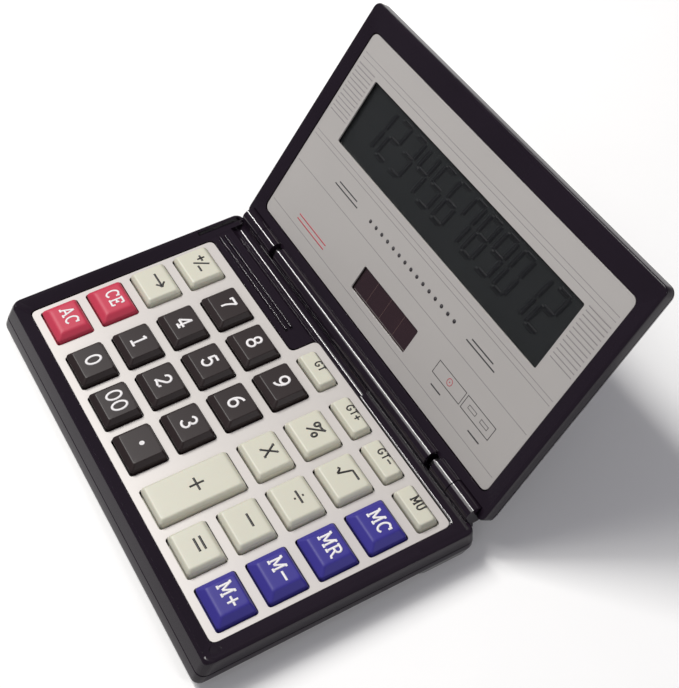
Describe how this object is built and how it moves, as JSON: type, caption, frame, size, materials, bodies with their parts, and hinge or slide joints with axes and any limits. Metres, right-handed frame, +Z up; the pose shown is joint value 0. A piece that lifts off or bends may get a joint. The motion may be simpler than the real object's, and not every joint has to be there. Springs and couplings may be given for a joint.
{
  "type": "folding pocket calculator",
  "caption": "Folding pocket calculator with a hinged display lid, sprung keys, a solar cell window and a sliding battery cover.",
  "frame": {"origin": "middle of the flat underside of the rear bulge that the case rests on", "axes": "+X to the user's right along the hinge, +Y away from the user towards the hinge, +Z up"},
  "size_m": [0.1376, 0.1332, 0.0707],
  "materials": {
    "gloss_black_plastic": "polished injection-moulded black plastic with a faint violet cast",
    "silver_plate": "satin silver sheet with a fine grain",
    "lid_plate": "satin silver-grey sheet with printed rules and stripes",
    "pink_key_plastic": "satin moulded key plastic",
    "cream_key_plastic": "satin moulded key plastic",
    "charcoal_key_plastic": "satin moulded key plastic",
    "violet_key_plastic": "satin moulded key plastic",
    "dome_film": "moulded film with small domes",
    "circuit_board": "solder-mask laminate",
    "bright_steel": "bright plated steel",
    "black_rubber": "matt moulded rubber",
    "clear_window": "clear acrylic pane",
    "lcd_glass": "dark polarised display glass",
    "solar_glass": "amorphous solar cell under glass",
    "flex_film": "amber flat cable film"
  },
  "bodies": {
    "case": {"lower_case": "gloss_black_plastic", "upper_case": "gloss_black_plastic", "key_plate": "silver_plate", "dome_sheet": "dome_film", "key_board": "circuit_board", "battery_cell": "bright_steel", "battery_contact_positive": "bright_steel", "battery_contact_negative": "bright_steel", "front_foot_left": "black_rubber", "front_foot_right": "black_rubber", "case_screw_front_left": "bright_steel", "case_screw_front_right": "bright_steel", "case_screw_rear_left": "bright_steel", "case_screw_rear_right": "bright_steel", "hinge_pin_left": "bright_steel", "hinge_pin_right": "bright_steel", "flex_cable": "flex_film"},
    "lid": {"lid_back_shell": "gloss_black_plastic", "lid_frame": "gloss_black_plastic", "lid_face_plate": "lid_plate", "display_window": "clear_window", "lcd_panel": "lcd_glass", "lcd_connector_strip": "black_rubber", "display_board": "circuit_board", "solar_cell": "solar_glass", "lid_screw_left": "bright_steel", "lid_screw_right": "bright_steel"},
    "battery_cover": {"battery_cover": "gloss_black_plastic"},
    "key_all_clear": {"key_all_clear": "pink_key_plastic"},
    "key_clear_entry": {"key_clear_entry": "pink_key_plastic"},
    "key_backspace": {"key_backspace": "cream_key_plastic"},
    "key_sign": {"key_sign": "cream_key_plastic"},
    "key_0": {"key_0": "charcoal_key_plastic"},
    "key_1": {"key_1": "charcoal_key_plastic"},
    "key_4": {"key_4": "charcoal_key_plastic"},
    "key_7": {"key_7": "charcoal_key_plastic"},
    "key_00": {"key_00": "charcoal_key_plastic"},
    "key_2": {"key_2": "charcoal_key_plastic"},
    "key_5": {"key_5": "charcoal_key_plastic"},
    "key_8": {"key_8": "charcoal_key_plastic"},
    "key_point": {"key_point": "charcoal_key_plastic"},
    "key_3": {"key_3": "charcoal_key_plastic"},
    "key_6": {"key_6": "charcoal_key_plastic"},
    "key_9": {"key_9": "charcoal_key_plastic"},
    "key_plus": {"key_plus": "cream_key_plastic"},
    "key_multiply": {"key_multiply": "cream_key_plastic"},
    "key_percent": {"key_percent": "cream_key_plastic"},
    "key_equals": {"key_equals": "cream_key_plastic"},
    "key_minus": {"key_minus": "cream_key_plastic"},
    "key_divide": {"key_divide": "cream_key_plastic"},
    "key_root": {"key_root": "cream_key_plastic"},
    "key_memory_plus": {"key_memory_plus": "violet_key_plastic"},
    "key_memory_minus": {"key_memory_minus": "violet_key_plastic"},
    "key_memory_recall": {"key_memory_recall": "violet_key_plastic"},
    "key_memory_clear": {"key_memory_clear": "violet_key_plastic"},
    "key_grand_total": {"key_grand_total": "cream_key_plastic"},
    "key_grand_total_plus": {"key_grand_total_plus": "cream_key_plastic"},
    "key_grand_total_minus": {"key_grand_total_minus": "cream_key_plastic"},
    "key_markup": {"key_markup": "cream_key_plastic"}
  },
  "joints": [
    {"name": "lid_hinge", "type": "hinge", "parent": "case", "child": "lid", "pos_m": [0, 0.01133, 0.0101], "axis": [1, 0, 0], "range_deg": [0, 128.5]},
    {"name": "battery_cover_slide", "type": "slide", "parent": "case", "child": "battery_cover", "axis": [0, -1, 0], "range_m": [0, 0.015]},
    {"name": "key_all_clear_press", "type": "slide", "parent": "case", "child": "key_all_clear", "axis": [0, 0, -1], "range_m": [0, 0.0008], "stiffness_N_per_m": 500, "springref_m": -0.0004},
    {"name": "key_clear_entry_press", "type": "slide", "parent": "case", "child": "key_clear_entry", "axis": [0, 0, -1], "range_m": [0, 0.0008], "stiffness_N_per_m": 500, "springref_m": -0.0004},
    {"name": "key_backspace_press", "type": "slide", "parent": "case", "child": "key_backspace", "axis": [0, 0, -1], "range_m": [0, 0.0008], "stiffness_N_per_m": 500, "springref_m": -0.0004},
    {"name": "key_sign_press", "type": "slide", "parent": "case", "child": "key_sign", "axis": [0, 0, -1], "range_m": [0, 0.0008], "stiffness_N_per_m": 500, "springref_m": -0.0004},
    {"name": "key_0_press", "type": "slide", "parent": "case", "child": "key_0", "axis": [0, 0, -1], "range_m": [0, 0.0008], "stiffness_N_per_m": 500, "springref_m": -0.0004},
    {"name": "key_1_press", "type": "slide", "parent": "case", "child": "key_1", "axis": [0, 0, -1], "range_m": [0, 0.0008], "stiffness_N_per_m": 500, "springref_m": -0.0004},
    {"name": "key_4_press", "type": "slide", "parent": "case", "child": "key_4", "axis": [0, 0, -1], "range_m": [0, 0.0008], "stiffness_N_per_m": 500, "springref_m": -0.0004},
    {"name": "key_7_press", "type": "slide", "parent": "case", "child": "key_7", "axis": [0, 0, -1], "range_m": [0, 0.0008], "stiffness_N_per_m": 500, "springref_m": -0.0004},
    {"name": "key_00_press", "type": "slide", "parent": "case", "child": "key_00", "axis": [0, 0, -1], "range_m": [0, 0.0008], "stiffness_N_per_m": 500, "springref_m": -0.0004},
    {"name": "key_2_press", "type": "slide", "parent": "case", "child": "key_2", "axis": [0, 0, -1], "range_m": [0, 0.0008], "stiffness_N_per_m": 500, "springref_m": -0.0004},
    {"name": "key_5_press", "type": "slide", "parent": "case", "child": "key_5", "axis": [0, 0, -1], "range_m": [0, 0.0008], "stiffness_N_per_m": 500, "springref_m": -0.0004},
    {"name": "key_8_press", "type": "slide", "parent": "case", "child": "key_8", "axis": [0, 0, -1], "range_m": [0, 0.0008], "stiffness_N_per_m": 500, "springref_m": -0.0004},
    {"name": "key_point_press", "type": "slide", "parent": "case", "child": "key_point", "axis": [0, 0, -1], "range_m": [0, 0.0008], "stiffness_N_per_m": 500, "springref_m": -0.0004},
    {"name": "key_3_press", "type": "slide", "parent": "case", "child": "key_3", "axis": [0, 0, -1], "range_m": [0, 0.0008], "stiffness_N_per_m": 500, "springref_m": -0.0004},
    {"name": "key_6_press", "type": "slide", "parent": "case", "child": "key_6", "axis": [0, 0, -1], "range_m": [0, 0.0008], "stiffness_N_per_m": 500, "springref_m": -0.0004},
    {"name": "key_9_press", "type": "slide", "parent": "case", "child": "key_9", "axis": [0, 0, -1], "range_m": [0, 0.0008], "stiffness_N_per_m": 500, "springref_m": -0.0004},
    {"name": "key_plus_press", "type": "slide", "parent": "case", "child": "key_plus", "axis": [0, 0, -1], "range_m": [0, 0.0008], "stiffness_N_per_m": 500, "springref_m": -0.0004},
    {"name": "key_multiply_press", "type": "slide", "parent": "case", "child": "key_multiply", "axis": [0, 0, -1], "range_m": [0, 0.0008], "stiffness_N_per_m": 500, "springref_m": -0.0004},
    {"name": "key_percent_press", "type": "slide", "parent": "case", "child": "key_percent", "axis": [0, 0, -1], "range_m": [0, 0.0008], "stiffness_N_per_m": 500, "springref_m": -0.0004},
    {"name": "key_equals_press", "type": "slide", "parent": "case", "child": "key_equals", "axis": [0, 0, -1], "range_m": [0, 0.0008], "stiffness_N_per_m": 500, "springref_m": -0.0004},
    {"name": "key_minus_press", "type": "slide", "parent": "case", "child": "key_minus", "axis": [0, 0, -1], "range_m": [0, 0.0008], "stiffness_N_per_m": 500, "springref_m": -0.0004},
    {"name": "key_divide_press", "type": "slide", "parent": "case", "child": "key_divide", "axis": [0, 0, -1], "range_m": [0, 0.0008], "stiffness_N_per_m": 500, "springref_m": -0.0004},
    {"name": "key_root_press", "type": "slide", "parent": "case", "child": "key_root", "axis": [0, 0, -1], "range_m": [0, 0.0008], "stiffness_N_per_m": 500, "springref_m": -0.0004},
    {"name": "key_memory_plus_press", "type": "slide", "parent": "case", "child": "key_memory_plus", "axis": [0, 0, -1], "range_m": [0, 0.0008], "stiffness_N_per_m": 500, "springref_m": -0.0004},
    {"name": "key_memory_minus_press", "type": "slide", "parent": "case", "child": "key_memory_minus", "axis": [0, 0, -1], "range_m": [0, 0.0008], "stiffness_N_per_m": 500, "springref_m": -0.0004},
    {"name": "key_memory_recall_press", "type": "slide", "parent": "case", "child": "key_memory_recall", "axis": [0, 0, -1], "range_m": [0, 0.0008], "stiffness_N_per_m": 500, "springref_m": -0.0004},
    {"name": "key_memory_clear_press", "type": "slide", "parent": "case", "child": "key_memory_clear", "axis": [0, 0, -1], "range_m": [0, 0.0008], "stiffness_N_per_m": 500, "springref_m": -0.0004},
    {"name": "key_grand_total_press", "type": "slide", "parent": "case", "child": "key_grand_total", "axis": [0, 0, -1], "range_m": [0, 0.0008], "stiffness_N_per_m": 500, "springref_m": -0.0004},
    {"name": "key_grand_total_plus_press", "type": "slide", "parent": "case", "child": "key_grand_total_plus", "axis": [0, 0, -1], "range_m": [0, 0.0008], "stiffness_N_per_m": 500, "springref_m": -0.0004},
    {"name": "key_grand_total_minus_press", "type": "slide", "parent": "case", "child": "key_grand_total_minus", "axis": [0, 0, -1], "range_m": [0, 0.0008], "stiffness_N_per_m": 500, "springref_m": -0.0004},
    {"name": "key_markup_press", "type": "slide", "parent": "case", "child": "key_markup", "axis": [0, 0, -1], "range_m": [0, 0.0008], "stiffness_N_per_m": 500, "springref_m": -0.0004}
  ]
}
